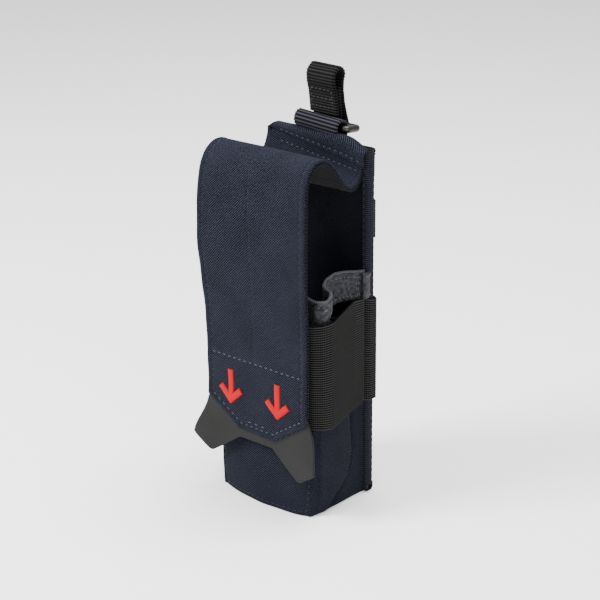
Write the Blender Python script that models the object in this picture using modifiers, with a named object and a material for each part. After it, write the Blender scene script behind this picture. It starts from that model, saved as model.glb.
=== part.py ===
"""Flap-top belt pouch that carries a folded tourniquet.

The pouch stands on its floor, +Z up, with its flap towards -Y. Everything is laid out in a panel frame whose
y = 0 is the front face of the back panel. The "tourniquet_pouch" empty shifts that frame so that the middle of
the object's box is over the world origin. Lengths are in metres.
"""

import math

import bmesh
import bpy
from mathutils import Matrix, Vector

OBJECT_NAME = "tourniquet_pouch"

# Driving sizes
GAP = 0.0003  # clear space between pieces that touch
PANEL_WIDTH = 0.0635
PANEL_TOP = 0.1755
CLOTH = 0.0007  # one layer of pack cloth
TAPE = 0.0006  # edge binding and hem tape
POCKET_DEPTH = 0.0386  # panel face to the outer face of the pocket's front
POCKET_WIDTH = 0.0611
FRONT_HEIGHT = 0.096
TRIM_HEIGHT = 0.013
FLAP_WIDTH = 0.0635
FLAP_LAYER = 0.0011
FLAP_MIDDLE_Y = -0.04385  # between the flap's two layers, where it hangs in front of the pocket
FLAP_TIP_Z = 0.037
FLAP_TIP_WIDTH = 0.023
FLAP_CORNER_Z = 0.050
TAB_THICKNESS = 0.0010
ELASTIC_WIDTH = 0.0508
ELASTIC_LOW = 0.049
ELASTIC = 0.0012
PATCH = 0.0008
STRAP_WIDTH = 0.025
STRAP = 0.0017
STRAP_HINGE_Z = 0.150
KEEPER_WIDTH = 0.0254
PULL_WIDTH = 0.018
MARK_THICKNESS = 0.0005
WIRE_RADIUS = 0.0015

# Levels through the back panel, from its front face backwards
STIFFENER_Y = (CLOTH + GAP, CLOTH + GAP + 0.0012)
REAR_CLOTH_Y = (STIFFENER_Y[1] + GAP, STIFFENER_Y[1] + GAP + CLOTH)
REAR_TAPE_Y = REAR_CLOTH_Y[1] + GAP + TAPE / 2
STRAP_Y = REAR_CLOTH_Y[1] + GAP + STRAP / 2
REAR_ELASTIC_Y = STRAP_Y + STRAP / 2 + GAP + ELASTIC / 2

# Levels in front of the pocket, from its outer face forwards
FRONT_ELASTIC_Y = -POCKET_DEPTH - GAP - ELASTIC / 2
LOOP_PATCH_Y = FRONT_ELASTIC_Y - ELASTIC / 2 - GAP - PATCH / 2
HOOK_PATCH_Y = LOOP_PATCH_Y - PATCH - GAP

# The flap's side view: down the panel, through a valley, over a crest, down in front of the pocket
LAYER_OFFSET = (FLAP_LAYER + GAP) / 2  # from the middle line to either layer
FLAP_HALF = LAYER_OFFSET + FLAP_LAYER / 2  # from the middle line to either face
FLAP_SEAM_Y = -GAP - FLAP_HALF
SEAM_TOP_Z = 0.1748
VALLEY_RADIUS = 0.010
VALLEY_CENTRE = Vector((FLAP_SEAM_Y - VALLEY_RADIUS, 0.1687))
CREST_RADIUS = 0.0094
CREST_CENTRE = Vector((FLAP_MIDDLE_Y + CREST_RADIUS, 0.1652))
TAB_Y = FLAP_MIDDLE_Y + LAYER_OFFSET
TAB_FLEX_Z = FLAP_TIP_Z - 0.0008

# Top hardware, as (y, z) in the side view
RING_FRONT_BAR = Vector((0.0026, 0.1805))
RING_DEPTH = 0.0084
RING_HALF_WIDTH = 0.0145
RING_TILT = math.radians(-6)
RING_REAR_BAR = RING_FRONT_BAR + RING_DEPTH * Vector((math.cos(RING_TILT), math.sin(RING_TILT)))
KEEPER_X = 0.001
PULL_TOP = Vector((0.0095, 0.2046))  # middle of the eye
PULL_LOOP_RADIUS = 0.0033
PULL_HALF = 0.0014

# The object's box runs from the face of the embroidery to the back of the pull strap
FRONT_Y = FLAP_MIDDLE_Y - FLAP_HALF - GAP - MARK_THICKNESS
REAR_Y = RING_REAR_BAR.x + PULL_LOOP_RADIUS
PANEL_FRAME_Y = -(FRONT_Y + REAR_Y) / 2

# Colour, roughness and metallic value of each finish
FINISHES = {
    "navy_cloth": ((0.016, 0.021, 0.038), 0.85, 0),
    "navy_webbing": ((0.018, 0.023, 0.045), 0.75, 0),
    "black_webbing": ((0.012, 0.012, 0.013), 0.75, 0),
    "ribbed_elastic": ((0.014, 0.014, 0.015), 0.8, 0),
    "slate_trim": ((0.045, 0.046, 0.058), 0.6, 0),
    "hook_and_loop": ((0.010, 0.010, 0.011), 0.95, 0),
    "coated_sheet": ((0.022, 0.021, 0.020), 0.6, 0),
    "plastic_sheet": ((0.40, 0.40, 0.39), 0.5, 0),
    "red_thread": ((0.62, 0.025, 0.045), 0.45, 0),
    "ring_metal": ((0.36, 0.35, 0.34), 0.35, 1),
}

SIDE_VIEW = (math.pi / 2, 0, math.pi / 2)  # a flat view's (u, v) becomes (y, z), seen along X
FRONT_VIEW = (math.pi / 2, 0, 0)  # (u, v) becomes (x, z), seen along Y
PLAN_VIEW = (0, 0, 0)  # (u, v) becomes (x, y), seen along Z
ACROSS = {SIDE_VIEW: Vector((1, 0, 0)), FRONT_VIEW: Vector((0, 1, 0)), PLAN_VIEW: Vector((0, 0, 1))}


def arc(centre, radius, start, end, steps=12):
    """Points on a circle in a flat view, angles in degrees, both ends included."""
    angles = [math.radians(start + (end - start) * i / steps) for i in range(steps + 1)]
    return [Vector((centre[0] + radius * math.cos(a), centre[1] + radius * math.sin(a))) for a in angles]


def rounded(corners, steps=5):
    """A flat path through (u, v) points and (u, v, radius) corners, each corner turned by an arc."""
    path = []
    for i, corner in enumerate(corners):
        here = Vector(corner[:2])
        if len(corner) == 2:
            path.append(here)
            continue
        before = (Vector(corners[i - 1][:2]) - here).normalized()
        after = (Vector(corners[(i + 1) % len(corners)][:2]) - here).normalized()
        half_angle = before.angle(after) / 2
        centre = here + (before + after).normalized() * corner[2] / math.sin(half_angle)
        reach = corner[2] / math.tan(half_angle)
        first, last = here + before * reach - centre, here + after * reach - centre
        turn = math.atan2(first.x * last.y - first.y * last.x, first.dot(last))
        path += [centre + Matrix.Rotation(turn * k / steps, 2) @ first for k in range(steps + 1)]
    return path


def rounded_box(left, right, low, high, radius):
    return rounded([(left, low, radius), (right, low, radius), (right, high, radius), (left, high, radius)])


def mirrored(points):
    """A right-hand half outline and its reflection, as one closed outline."""
    return list(points) + [(-p[0], *p[1:]) for p in reversed(points)]


def finish_material(name):
    """The material of a named finish, made when it is first asked for."""
    if name in bpy.data.materials:
        return bpy.data.materials[name]
    colour, roughness, metallic = FINISHES[name]
    made = bpy.data.materials.new(name)
    made.use_nodes = True
    shader = made.node_tree.nodes["Principled BSDF"]
    shader.inputs["Base Color"].default_value = (*colour, 1)
    shader.inputs["Roughness"].default_value = roughness
    shader.inputs["Metallic"].default_value = metallic
    return made


def pivot(name, parent, y, z):
    """An empty on a joint's axis, for the pieces that turn about it."""
    made = bpy.data.objects.new(name, None)
    made.parent = parent
    made.location = Vector((0, y, z)) - panel_frame_location(parent)
    bpy.data.collections[OBJECT_NAME].objects.link(made)
    return made


def panel_frame_location(empty):
    """Where an empty is in the panel frame. The top empty is that frame's own origin."""
    return panel_frame_location(empty.parent) + empty.location if empty.parent else Vector()


def place(obj, body, finish):
    """Puts an object, laid out in the panel frame, under a body's empty."""
    bpy.data.collections[OBJECT_NAME].objects.link(obj)
    obj.parent = body
    obj.matrix_parent_inverse = Matrix.Translation(-panel_frame_location(body))
    obj.data.materials.append(finish_material(finish))
    return obj


def flat_curve(name, loops, width, view, offset, closed, body, finish):
    """A curve of poly splines in a flat view, extruded to a width about an offset across the view."""
    curve = bpy.data.curves.new(name, "CURVE")
    curve.dimensions = "2D" if closed else "3D"
    curve.fill_mode = "BOTH" if closed else "FULL"
    curve.extrude = width / 2
    for points in loops:
        spline = curve.splines.new("POLY")
        spline.points.add(len(points) - 1)
        for made, point in zip(spline.points, points):
            made.co = (point[0], point[1], 0, 1)
        spline.use_cyclic_u = closed
    obj = bpy.data.objects.new(name, curve)
    obj.rotation_euler = view
    obj.location = ACROSS[view] * offset
    return place(obj, body, finish)


def plate(name, outline, thickness, view, offset, body, finish, holes=()):
    """A filled outline of even thickness."""
    return flat_curve(name, [outline, *holes], thickness, view, offset, True, body, finish)


def band(name, path, width, thickness, view, offset, body, finish, cyclic=False):
    """A tape or cloth of even thickness that follows a path in a flat view, seen edge on."""
    obj = flat_curve(name, [path], width, view, offset, False, body, finish)
    obj.data.splines[0].use_cyclic_u = cyclic
    solidify = obj.modifiers.new("thickness", "SOLIDIFY")
    solidify.thickness = thickness
    solidify.offset = 0
    solidify.use_even_offset = True
    return obj


def to_mesh(obj):
    """Replaces a curve object by a mesh object of the same shape, place and name."""
    bpy.context.view_layer.update()
    mesh = bpy.data.meshes.new_from_object(obj.evaluated_get(bpy.context.evaluated_depsgraph_get()))
    weld = bmesh.new()
    weld.from_mesh(mesh)
    bmesh.ops.remove_doubles(weld, verts=weld.verts, dist=1e-6)
    weld.to_mesh(mesh)
    weld.free()
    made = bpy.data.objects.new("mesh", mesh)
    bpy.data.collections[OBJECT_NAME].objects.link(made)
    made.parent = obj.parent
    made.matrix_parent_inverse = obj.matrix_parent_inverse
    made.matrix_world = obj.matrix_world
    name = obj.name
    bpy.data.curves.remove(obj.data)
    made.name = name
    return made


def cut(obj, cutters):
    for cutter in cutters:
        boolean = obj.modifiers.new("cut", "BOOLEAN")
        boolean.operation = "DIFFERENCE"
        boolean.object = cutter


def back_panel(pouch):
    """Cloth, plastic sheet and cloth, bound by tape along the sides and the foot."""
    half = PANEL_WIDTH / 2 - GAP - TAPE
    outline = rounded_box(-half, half, GAP + TAPE, PANEL_TOP, 0.002)
    layers = (
        ("back_panel_face", 0, CLOTH, "navy_cloth"),
        ("back_stiffener", *STIFFENER_Y, "plastic_sheet"),
        ("back_panel_rear", *REAR_CLOTH_Y, "navy_cloth"),
    )
    for name, near, far, finish in layers:
        plate(name, outline, far - near, FRONT_VIEW, (near + far) / 2, pouch, finish)
    front = -GAP - TAPE / 2
    low, high, side_lap, foot_lap, radius = 0.005, 0.163, 0.0026, 0.0042, 0.0012
    edge = PANEL_WIDTH / 2 - TAPE / 2
    for side, word in ((-1, "left"), (1, "right")):
        inner = edge - side_lap
        path = rounded([(inner, front), (edge, front, radius), (edge, REAR_TAPE_Y, radius), (inner, REAR_TAPE_Y)])
        path = [(side * p.x, p.y) for p in path]
        middle = (low + high) / 2
        band(f"side_binding_{word}", path, high - low, TAPE, PLAN_VIEW, middle, pouch, "navy_webbing")
    foot = TAPE / 2
    path = rounded([(front, foot_lap), (front, foot, radius), (REAR_TAPE_Y, foot, radius), (REAR_TAPE_Y, foot_lap)])
    band("foot_binding", path, PANEL_WIDTH - 0.0015, TAPE, SIDE_VIEW, 0, pouch, "navy_webbing")


def top_hem(pouch):
    """The cloth folded over the panel's top edge and the flap's sewn edge."""
    front = FLAP_SEAM_Y - FLAP_HALF - GAP - TAPE / 2
    top = PANEL_TOP + GAP + TAPE / 2
    front_low, rear_low, radius = 0.1712, 0.1655, 0.0012
    path = rounded([(front, front_low), (front, top, radius), (REAR_TAPE_Y, top, radius), (REAR_TAPE_Y, rear_low)])
    band("top_hem", path, PANEL_WIDTH, TAPE, SIDE_VIEW, 0, pouch, "navy_cloth")


def pocket(pouch):
    """The front wall, the floor and the pleated side walls, with the trim round the mouth."""
    half = POCKET_WIDTH / 2 - CLOTH / 2
    front = -POCKET_DEPTH + CLOTH / 2
    wall_end, corner = -0.031, 0.005
    wall = rounded([(-half, wall_end), (-half, front, corner), (half, front, corner), (half, wall_end)])
    band("pocket_front", wall, FRONT_HEIGHT, CLOTH, PLAN_VIEW, FRONT_HEIGHT / 2, pouch, "navy_cloth")
    trim_low = FRONT_HEIGHT + GAP
    trim_middle = trim_low + TRIM_HEIGHT / 2
    band("front_trim", wall, TRIM_HEIGHT, 0.0008, PLAN_VIEW, trim_middle, pouch, "slate_trim")
    floor_half, floor_front, floor_rear, floor_thickness = 0.0293, -0.0375, -0.0012, 0.001
    floor = rounded_box(-floor_half, floor_half, floor_front, floor_rear, 0.004)
    plate("pocket_floor", floor, floor_thickness, PLAN_VIEW, floor_thickness / 2, pouch, "navy_cloth")

    low, high = floor_thickness + GAP, FRONT_HEIGHT - GAP
    start, end = wall_end + GAP, -0.0016
    pleat = [(half, start), (half + 0.0022, -0.024, 0.006), (half + 0.0008, -0.013, 0.003),
             (half - 0.0037, -0.008, 0.0012), (half, end)]
    fold = [(half + 0.0002, start), (half + 0.0012, -0.0275, 0.0024), (half - 0.004, -0.0205, 0.0016),
            (half - 0.0005, -0.009, 0.004), (half, end)]
    for side, word in ((-1, "left"), (1, "right")):
        path = [(side * p.x, p.y) for p in rounded(pleat, steps=4)]
        name = f"side_wall_{word}"
        wall = band(name, path, high - low, CLOTH, PLAN_VIEW, (low + high) / 2, pouch, "navy_cloth")
        rise_to_rear(to_mesh(wall), wall_end, (low + high) / 2)
        path = [(side * p.x, p.y) for p in rounded(fold, steps=4)]
        name = f"mouth_trim_{word}"
        trim = band(name, path, TRIM_HEIGHT, 0.0008, PLAN_VIEW, trim_middle, pouch, "slate_trim")
        rise_to_rear(to_mesh(trim), wall_end, 0)


def rise_to_rear(obj, front, above, slope=0.19):
    """Lifts what lies above a height by a slope that starts at the pocket's front."""
    for vertex in obj.data.vertices:
        if vertex.co.z + obj.location.z > above:
            vertex.co.z += slope * (vertex.co.y - front)


def elastic(pouch):
    """One closed loop of ribbed elastic round the pocket and the back panel."""
    side = POCKET_WIDTH / 2 + 0.0030
    half = [(0.0, FRONT_ELASTIC_Y), (0.0312, FRONT_ELASTIC_Y, 0.006), (side, -0.024, 0.008),
            (0.0328, -0.004, 0.004), (0.0325, REAR_ELASTIC_Y, 0.0025), (0.0, REAR_ELASTIC_Y)]
    right = rounded(half)
    path = right + [(-p.x, p.y) for p in reversed(right[1:-1])]
    middle = ELASTIC_LOW + ELASTIC_WIDTH / 2
    name = "retention_elastic"
    band(name, path, ELASTIC_WIDTH, ELASTIC, PLAN_VIEW, middle, pouch, "ribbed_elastic", cyclic=True)
    patch = rounded_box(-0.020, 0.020, 0.053, 0.096, 0.003)
    plate("loop_patch", patch, PATCH, FRONT_VIEW, LOOP_PATCH_Y, pouch, "hook_and_loop")


def flap_rise():
    """The rise, in degrees, of the straight run between the valley's and the crest's circles."""
    between = CREST_CENTRE - VALLEY_CENTRE
    crossing = math.asin((VALLEY_RADIUS + CREST_RADIUS) / between.length)
    return math.degrees(crossing - math.atan2(-between.y, -between.x))


def flap_root_path(offset):
    """From below the seam, through the valley, to just short of the top of the crest."""
    rise = flap_rise()
    valley = arc(VALLEY_CENTRE, VALLEY_RADIUS - offset, -1.5, -90 - rise)
    return valley + arc(CREST_CENTRE, CREST_RADIUS + offset, 90 - rise, 89, 6)


def flap_front_path(offset, low):
    """From just past the top of the crest down to a given height."""
    return arc(CREST_CENTRE, CREST_RADIUS + offset, 91, 180, 8) + [(FLAP_MIDDLE_Y - offset, low)]


def flap_corner_cutters(pouch):
    """Two blocks whose upper faces give the flap's tip its sloping corners."""
    run, rise = (FLAP_WIDTH - FLAP_TIP_WIDTH) / 2, FLAP_CORNER_Z - FLAP_TIP_Z
    angle = math.atan2(rise, run)
    size = 0.05
    cutters = []
    for side in (-1, 1):
        bpy.ops.mesh.primitive_cube_add(size=size)
        cutter = bpy.context.object
        cutter.name = "flap_corner_cutter"
        for collection in list(cutter.users_collection):
            collection.objects.unlink(cutter)
        bpy.data.collections["cutters"].objects.link(cutter)
        cutter.parent = pouch
        middle = Vector((side * (FLAP_TIP_WIDTH + run) / 2, FLAP_MIDDLE_Y, (FLAP_TIP_Z + FLAP_CORNER_Z) / 2))
        cutter.location = middle + Vector((side * math.sin(angle), 0, -math.cos(angle))) * size / 2
        cutter.rotation_euler = (0, -side * angle, 0)
        cutter.hide_render = True
        cutter.display_type = "WIRE"
        cutters.append(cutter)
    return cutters


def flap(pouch, root, front):
    """Two layers of cloth, each a sewn edge, a root up to the crest, and a front that hangs from the crest."""
    cutters = flap_corner_cutters(pouch)
    cloth = "navy_cloth"
    lows = {"outer": FLAP_TIP_Z, "lining": FLAP_CORNER_Z + 0.004}
    for layer, offset in (("outer", LAYER_OFFSET), ("lining", -LAYER_OFFSET)):
        seam = [(FLAP_SEAM_Y - offset, SEAM_TOP_Z), (FLAP_SEAM_Y - offset, VALLEY_CENTRE.y + GAP)]
        band(f"flap_sewn_edge_{layer}", seam, FLAP_WIDTH - 0.001, FLAP_LAYER, SIDE_VIEW, 0, pouch, cloth)
        band(f"flap_root_{layer}", flap_root_path(offset), FLAP_WIDTH, FLAP_LAYER, SIDE_VIEW, 0, root, cloth)
        path = flap_front_path(offset, lows[layer])
        hanging = band(f"flap_front_{layer}", path, FLAP_WIDTH, FLAP_LAYER, SIDE_VIEW, 0, front, cloth)
        if layer == "outer":
            cut(to_mesh(hanging), cutters)
    patch = rounded_box(-0.019, 0.019, 0.057, 0.093, 0.003)
    plate("hook_patch", patch, PATCH, FRONT_VIEW, HOOK_PATCH_Y, front, "hook_and_loop")
    for word, x in (("left", -0.0162), ("right", 0.0140)):
        outline = [(x + u, v) for u, v in arrow_outline()]
        name = f"embroidered_arrow_{word}"
        plate(name, outline, MARK_THICKNESS, FRONT_VIEW, FRONT_Y + MARK_THICKNESS / 2, front, "red_thread")


def arrow_outline():
    """A plain arrow that points down, as (x, z) with x from its middle line."""
    tip, head, top, half_stroke = 0.0490, 0.0074, 0.0664, 0.0016
    slant = half_stroke * math.sqrt(2)
    end = (head - slant, tip + head + slant)
    right = [(head, tip + head), end, (half_stroke, end[1] - end[0] + half_stroke), (half_stroke, top)]
    return [(0, tip), *mirrored(right)]


def pull_tab(front, wings):
    """A winged tab of coated sheet: its upper part is sewn behind the flap's tip, its lower part flexes."""
    outer, corner, foot, inner, arch = (
        (0.0325, 0.0495), (0.0398, 0.0274), (0.0292, 0.0187), (0.0165, 0.0278), (0.0105, 0.0322))
    share = (outer[1] - TAB_FLEX_Z) / (outer[1] - corner[1])
    flex_x = outer[0] + share * (corner[0] - outer[0])
    upper = mirrored([(flex_x, TAB_FLEX_Z + GAP / 2), outer, (0.0305, 0.0533)])
    plate("pull_tab_root", upper, TAB_THICKNESS, FRONT_VIEW, TAB_Y, front, "coated_sheet")
    lower = mirrored([(flex_x, TAB_FLEX_Z - GAP / 2), (*corner, 0.0006), (*foot, 0.001), (*inner, 0.003),
                      (*arch, 0.006)])
    plate("pull_tab_wings", rounded(lower, 3), TAB_THICKNESS, FRONT_VIEW, TAB_Y, wings, "coated_sheet")


def mounting_straps(pouch, ends):
    """Two webbing straps on the back, sewn down under a keeper, with free upper ends."""
    foot_z, tip = 0.029, (STRAP_Y + 0.0036, 0.1742)
    for side, word in ((-1, "left"), (1, "right")):
        x = side * 0.016
        sewn = [(STRAP_Y, foot_z), (STRAP_Y, STRAP_HINGE_Z)]
        band(f"mounting_strap_{word}", sewn, STRAP_WIDTH, STRAP, SIDE_VIEW, x, pouch, "black_webbing")
        free = rounded([(STRAP_Y, STRAP_HINGE_Z + 0.0006), (STRAP_Y + 0.0004, STRAP_HINGE_Z + 0.006, 0.03), tip])
        band(f"strap_end_{word}", free, STRAP_WIDTH, STRAP, SIDE_VIEW, x, ends[word], "black_webbing")
    edge, inset, radius = PANEL_WIDTH / 2 - 0.0006, 0.002, 0.002
    middle, width = 0.1400, 0.0182
    path = rounded([(-edge, REAR_ELASTIC_Y - 0.0012), (-edge + inset, REAR_ELASTIC_Y, radius),
                    (edge - inset, REAR_ELASTIC_Y, radius), (edge, REAR_ELASTIC_Y - 0.0012)])
    band("strap_keeper", path, width, ELASTIC, PLAN_VIEW, middle, pouch, "black_webbing")


def ring_keeper(pouch):
    """The webbing loop that holds the ring: over the ring's front bar and down the back of the top hem."""
    radius, thickness = 0.0032, 0.0015
    tail_y, tail_top, tail_low, front_low = 0.0052, 0.1765, 0.1698, 0.1782
    tail = [(tail_y, tail_low), (tail_y, tail_top, 0.004)]
    over = arc(RING_FRONT_BAR, radius, 0, 180)
    path = rounded([*tail, (over[0].x, over[0].y)])[:-1] + over + [(over[-1].x, front_low)]
    band("ring_keeper", path, KEEPER_WIDTH, thickness, SIDE_VIEW, KEEPER_X, pouch, "navy_webbing")


def ring(body):
    """A rectangular ring of round wire."""
    curve = bpy.data.curves.new("ring", "CURVE")
    curve.dimensions = "3D"
    curve.bevel_depth = WIRE_RADIUS
    curve.bevel_resolution = 2
    loop = rounded_box(-RING_HALF_WIDTH, RING_HALF_WIDTH, 0, RING_DEPTH, 0.0022)
    spline = curve.splines.new("POLY")
    spline.points.add(len(loop) - 1)
    for made, point in zip(spline.points, loop):
        made.co = (*point, 0, 1)
    spline.use_cyclic_u = True
    obj = place(bpy.data.objects.new("ring", curve), body, "ring_metal")
    obj.location = (KEEPER_X, *RING_FRONT_BAR)
    obj.rotation_euler = (RING_TILT, 0, 0)


def pull_strap(body):
    """Doubled webbing, stitched flat between its loop round the ring's rear bar and a small eye at the top."""
    eye_radius = 0.0031
    up = (PULL_TOP - RING_REAR_BAR).normalized()
    side = Vector((up.y, -up.x)) * PULL_HALF
    lean = math.degrees(math.atan2(up.y, up.x))
    foot = arc(RING_REAR_BAR, PULL_LOOP_RADIUS, lean + 50, lean + 310, 16)
    eye = arc(PULL_TOP, eye_radius, lean - 145, lean + 145, 16)
    waist_low, waist_high = RING_REAR_BAR + up * 0.0072, PULL_TOP - up * 0.0062
    outline = foot + [waist_low + side, waist_high + side] + eye + [waist_high - side, waist_low - side]
    holes = [arc(RING_REAR_BAR, PULL_LOOP_RADIUS - 0.0012, 0, 330, 11), arc(PULL_TOP, eye_radius - 0.0012, 0, 330, 11)]
    plate("pull_strap", outline, PULL_WIDTH, SIDE_VIEW, 0, body, "black_webbing", holes)


def main():
    for obj in list(bpy.data.objects):
        bpy.data.objects.remove(obj)
    for name in (OBJECT_NAME, "cutters"):
        bpy.context.scene.collection.children.link(bpy.data.collections.new(name))
    pouch = bpy.data.objects.new(OBJECT_NAME, None)
    pouch.location.y = PANEL_FRAME_Y
    bpy.data.collections[OBJECT_NAME].objects.link(pouch)

    root = pivot("flap_lift_axis", pouch, FLAP_SEAM_Y - FLAP_HALF, VALLEY_CENTRE.y)
    front = pivot("flap_fold_axis", root, CREST_CENTRE.x, CREST_CENTRE.y + CREST_RADIUS + FLAP_HALF)
    wings = pivot("tab_flex_axis", front, TAB_Y - TAB_THICKNESS / 2, TAB_FLEX_Z)
    strap_back = STRAP_Y + STRAP / 2
    ends = {word: pivot(f"strap_end_{word}_axis", pouch, strap_back, STRAP_HINGE_Z) for word in ("left", "right")}
    swing = pivot("ring_axis", pouch, *RING_FRONT_BAR)
    pull = pivot("pull_strap_axis", swing, *RING_REAR_BAR)

    back_panel(pouch)
    top_hem(pouch)
    pocket(pouch)
    elastic(pouch)
    flap(pouch, root, front)
    pull_tab(front, wings)
    mounting_straps(pouch, ends)
    ring_keeper(pouch)
    ring(swing)
    pull_strap(pull)


main()
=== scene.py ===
"""Looks of the flap-top pouch for a folded tourniquet.

Pieces are laid out in millimetres in the panel's frame: x to the right, y = 0 at the back panel's front
face, z up from the floor. Cloth is measured along its own surface, a or x across it and s along it.
"""
import math

import bpy
import numpy as np
from mathutils import Matrix, Vector


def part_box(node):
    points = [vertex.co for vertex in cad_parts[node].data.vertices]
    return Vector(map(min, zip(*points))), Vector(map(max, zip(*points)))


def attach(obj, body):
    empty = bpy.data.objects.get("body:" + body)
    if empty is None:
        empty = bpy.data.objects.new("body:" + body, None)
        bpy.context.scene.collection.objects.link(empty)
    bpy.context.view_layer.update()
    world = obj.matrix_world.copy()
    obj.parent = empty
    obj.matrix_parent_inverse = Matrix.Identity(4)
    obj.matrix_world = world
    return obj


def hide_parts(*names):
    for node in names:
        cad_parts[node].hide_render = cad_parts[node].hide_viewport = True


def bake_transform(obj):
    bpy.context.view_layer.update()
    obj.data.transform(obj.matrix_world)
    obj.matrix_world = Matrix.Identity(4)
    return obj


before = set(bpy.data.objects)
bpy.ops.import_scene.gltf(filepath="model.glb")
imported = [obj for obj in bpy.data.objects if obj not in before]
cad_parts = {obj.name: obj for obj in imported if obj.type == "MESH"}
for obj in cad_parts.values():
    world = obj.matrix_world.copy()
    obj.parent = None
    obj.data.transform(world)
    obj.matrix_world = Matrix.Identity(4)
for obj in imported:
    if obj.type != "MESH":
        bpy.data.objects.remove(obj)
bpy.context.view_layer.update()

MM = 0.001
PANEL_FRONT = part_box("back_panel_face")[0].y
FLAT_MAP = "flat_mm"  # the UV map that holds a cloth's flat measures, in millimetres
RIM_REACH = 0.8  # how far a cloth's rim stands out, as a share of half its thickness
RIB, STRAP_RIB = 1.15, 1.5  # the pitch of the elastic's ribs and of the webbing's


# ---------------------------------------------------------------- shapes

def in_frame(points):
    """Millimetres in the panel's frame to metres in the row frame."""
    return np.asarray(points, float) * MM + (0, PANEL_FRONT, 0)


def point(x, y, z):
    return tuple(in_frame((x, y, z)))


def places(x, y, z):
    """Points from three coordinates, each a number or an array."""
    return np.stack(np.broadcast_arrays(x, y, z), axis=-1)


def smooth_step(value):
    value = np.clip(value, 0, 1)
    return value * value * (3 - 2 * value)


def ribbed(s, pitch, depth):
    """Even ribs, one every pitch."""
    return depth * np.sin(2 * math.pi * s / pitch)


def soften(values, sigma, axis=0):
    """Gaussian smoothing of evenly spaced samples that keeps both ends in place."""
    reach = int(math.ceil(3 * sigma))
    if reach < 1:
        return values
    kernel = np.exp(-0.5 * (np.arange(-reach, reach + 1) / sigma) ** 2)
    kernel /= kernel.sum()
    pads = [(0, 0)] * values.ndim
    pads[axis] = (reach, reach)
    padded = np.pad(values, pads, mode="reflect", reflect_type="odd")
    return np.apply_along_axis(lambda line: np.convolve(line, kernel, "valid"), axis, padded)


class Path:
    """A smooth path through points in two or three dimensions, measured along its length."""

    def __init__(self, points, soft=0.0, step=0.25):
        corners = np.asarray(points, float)
        lengths = np.r_[0, np.cumsum(np.linalg.norm(np.diff(corners, axis=0), axis=1))]
        count = max(2, int(round(lengths[-1] / step)) + 1)
        even = np.linspace(0, lengths[-1], count)
        self.points = np.stack([np.interp(even, lengths, c) for c in corners.T], axis=1)
        if soft:
            self.points = soften(self.points, soft / step)
        self.lengths = np.r_[0, np.cumsum(np.linalg.norm(np.diff(self.points, axis=0), axis=1))]
        self.length = self.lengths[-1]

    def __call__(self, s):
        """Points at lengths s. Past either end the path goes on straight."""
        s = np.asarray(s, float)
        inside = np.clip(s, 0, self.length)
        found = np.stack([np.interp(inside, self.lengths, c) for c in self.points.T], axis=-1)
        first, last = self.points[1] - self.points[0], self.points[-1] - self.points[-2]
        before = np.minimum(s, 0)[..., None] * first / np.linalg.norm(first)
        after = np.maximum(s - self.length, 0)[..., None] * last / np.linalg.norm(last)
        return found + before + after

    def where(self, axis, value, start=0.0):
        """The length, past a start, at which a coordinate first crosses a value."""
        side = self.points[:, axis] - value
        crossing = (side[:-1] * side[1:] <= 0) & (self.lengths[:-1] >= start)
        return float(self.lengths[np.argmax(crossing)])


class Table:
    """A surface given by a grid of points over columns a and rows s, read between them."""

    def __init__(self, columns, rows, points):
        self.columns, self.rows, self.points = columns, rows, points

    def __call__(self, a, s):
        i = np.clip((s - self.rows[0]) / (self.rows[1] - self.rows[0]), 0, len(self.rows) - 1.001)
        j = np.clip((a - self.columns[0]) / (self.columns[1] - self.columns[0]), 0, len(self.columns) - 1.001)
        i0, j0 = i.astype(int), j.astype(int)
        fi, fj = (i - i0)[..., None], (j - j0)[..., None]
        p = self.points
        low = p[i0, j0] * (1 - fj) + p[i0, j0 + 1] * fj
        high = p[i0 + 1, j0] * (1 - fj) + p[i0 + 1, j0 + 1] * fj
        return low * (1 - fi) + high * fi


def groove(distance, depth=0.3, width=0.7):
    """The dent that a row of stitches pulls into cloth."""
    return -depth * np.exp(-(distance / width) ** 2)


def sway(a, s, seed, size=0.25, wave=24.0):
    """Slow uneven waves, the same each run."""
    draw = np.random.default_rng(seed)
    total = 0
    for _ in range(5):
        angle, phase = draw.uniform(0, math.pi), draw.uniform(0, 2 * math.pi)
        stretch = draw.uniform(0.7, 1.8)
        along = a * math.cos(angle) + s * math.sin(angle)
        total = total + np.sin(2 * math.pi * along * stretch / wave + phase)
    return size * total / 3


def quads(index):
    """Faces between neighbours in a grid of vertex numbers."""
    corners = (index[..., :-1, :-1], index[..., :-1, 1:], index[..., 1:, 1:], index[..., 1:, :-1])
    return np.stack(corners, axis=-1).reshape(-1, 4)


def new_mesh(name, vertices, faces, flat, finish):
    """A smooth mesh of quads, with its flat measures as a UV map."""
    mesh = bpy.data.meshes.new(name)
    mesh.vertices.add(len(vertices))
    mesh.vertices.foreach_set("co", np.asarray(vertices, np.float32).ravel())
    faces = np.asarray(faces, np.int32)
    mesh.loops.add(faces.size)
    mesh.loops.foreach_set("vertex_index", faces.ravel())
    mesh.polygons.add(len(faces))
    mesh.polygons.foreach_set("loop_start", np.arange(0, faces.size, 4, dtype=np.int32))
    mesh.polygons.foreach_set("use_smooth", np.ones(len(faces), bool))
    layer = mesh.uv_layers.new(name=FLAT_MAP)
    layer.data.foreach_set("uv", np.asarray(flat, np.float32)[faces.ravel()].ravel())
    mesh.update(calc_edges=True)
    mesh.materials.append(finish)
    made = bpy.data.objects.new(name, mesh)
    bpy.context.scene.collection.objects.link(made)
    return made


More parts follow.
